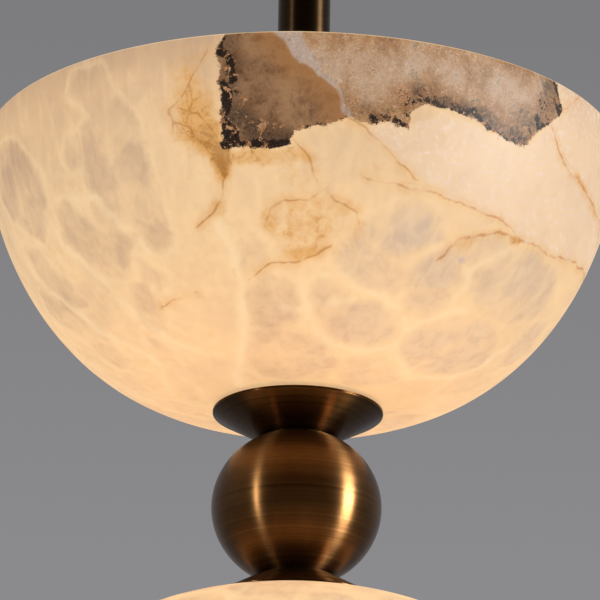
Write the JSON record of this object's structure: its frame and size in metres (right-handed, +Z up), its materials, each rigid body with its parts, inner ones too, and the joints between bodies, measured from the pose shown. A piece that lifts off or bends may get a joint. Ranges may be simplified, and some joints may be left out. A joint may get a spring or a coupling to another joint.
{
  "type": "pendant light",
  "caption": "Pendant light with an upward and a downward alabaster shade joined by a ball between two conical saucers, on a downrod with a tilting swivel and a ceiling canopy.",
  "frame": {"origin": "centre of the ceiling face of the bracket, midway between its two slots", "axes": "+Z up into the ceiling, X along the bracket's slots, everything hangs below z = 0"},
  "size_m": [0.2998, 0.2998, 0.7844],
  "materials": {
    "alabaster": "satin, translucent, veined",
    "antique_bronze": "brushed, dark patina",
    "zinc_steel": "zinc plated",
    "gasket_rubber": "matt",
    "wire_sleeve": "silicone sleeve",
    "cable_sheath": "matt sheath",
    "holder_ceramic": "unglazed",
    "bulb_base_ceramic": "satin",
    "frosted_glass": "frosted",
    "terminal_plastic": "matt",
    "terminal_brass": "bright"
  },
  "bodies": {
    "ceiling_mount": {"ceiling_bracket": "zinc_steel", "hanger_stem": "zinc_steel", "stem_nuts": "zinc_steel", "canopy": "antique_bronze", "canopy_collar": "antique_bronze", "stop_pin": "zinc_steel", "terminal_block": "terminal_plastic", "terminal_screws": "terminal_brass", "block_screw": "zinc_steel", "earth_screw": "zinc_steel", "canopy_lead": "cable_sheath"},
    "swivel": {"swivel_yoke": "antique_bronze", "swivel_ring_nut": "antique_bronze", "trunnion_screws": "zinc_steel", "knuckle_washers": "zinc_steel"},
    "pendant": {"knuckle": "antique_bronze", "rod_cap": "antique_bronze", "down_rod": "antique_bronze", "rod_end_plug": "zinc_steel", "through_tube": "zinc_steel", "rod_cable": "cable_sheath", "upper_lamp_carrier": "zinc_steel", "upper_inner_flange": "zinc_steel", "upper_inner_gasket": "gasket_rubber", "upper_bowl": "alabaster", "upper_outer_gasket": "gasket_rubber", "upper_saucer": "antique_bronze", "ball": "antique_bronze", "ball_spacer": "zinc_steel", "lower_saucer": "antique_bronze", "lower_outer_gasket": "gasket_rubber", "lower_dome": "alabaster", "lower_inner_gasket": "gasket_rubber", "lower_inner_flange": "zinc_steel", "lower_lamp_carrier": "zinc_steel", "clamp_nut": "zinc_steel", "finial": "antique_bronze", "upper_lamp_holder_1": "holder_ceramic", "upper_lamp_holder_2": "holder_ceramic", "upper_lamp_holder_3": "holder_ceramic", "upper_holder_screws": "zinc_steel", "upper_holder_wires": "wire_sleeve", "lower_lamp_holder_1": "holder_ceramic", "lower_lamp_holder_2": "holder_ceramic", "lower_lamp_holder_3": "holder_ceramic", "lower_holder_screws": "zinc_steel", "lower_holder_wires": "wire_sleeve"},
    "upper_bulb_1": {"upper_bulb_base_1": "bulb_base_ceramic", "upper_bulb_glass_1": "frosted_glass"},
    "upper_bulb_2": {"upper_bulb_base_2": "bulb_base_ceramic", "upper_bulb_glass_2": "frosted_glass"},
    "upper_bulb_3": {"upper_bulb_base_3": "bulb_base_ceramic", "upper_bulb_glass_3": "frosted_glass"},
    "lower_bulb_1": {"lower_bulb_base_1": "bulb_base_ceramic", "lower_bulb_glass_1": "frosted_glass"},
    "lower_bulb_2": {"lower_bulb_base_2": "bulb_base_ceramic", "lower_bulb_glass_2": "frosted_glass"},
    "lower_bulb_3": {"lower_bulb_base_3": "bulb_base_ceramic", "lower_bulb_glass_3": "frosted_glass"}
  },
  "joints": [
    {"name": "swivel_spin", "type": "hinge", "parent": "ceiling_mount", "child": "swivel", "pos_m": [0, 0, -0.05], "axis": [0, 0, 1], "range_deg": [-165, 165]},
    {"name": "knuckle_tilt", "type": "hinge", "parent": "swivel", "child": "pendant", "pos_m": [0, 0, -0.06926], "axis": [1, 0, 0], "range_deg": [-45, 45]},
    {"name": "upper_bulb_1_pull", "type": "slide", "parent": "pendant", "child": "upper_bulb_1", "axis": [0, 0, 1], "range_m": [0, 0.016]},
    {"name": "upper_bulb_2_pull", "type": "slide", "parent": "pendant", "child": "upper_bulb_2", "axis": [0, 0, 1], "range_m": [0, 0.016]},
    {"name": "upper_bulb_3_pull", "type": "slide", "parent": "pendant", "child": "upper_bulb_3", "axis": [0, 0, 1], "range_m": [0, 0.016]},
    {"name": "lower_bulb_1_pull", "type": "slide", "parent": "pendant", "child": "lower_bulb_1", "axis": [0, 0, -1], "range_m": [0, 0.016]},
    {"name": "lower_bulb_2_pull", "type": "slide", "parent": "pendant", "child": "lower_bulb_2", "axis": [0, 0, -1], "range_m": [0, 0.016]},
    {"name": "lower_bulb_3_pull", "type": "slide", "parent": "pendant", "child": "lower_bulb_3", "axis": [0, 0, -1], "range_m": [0, 0.016]}
  ]
}
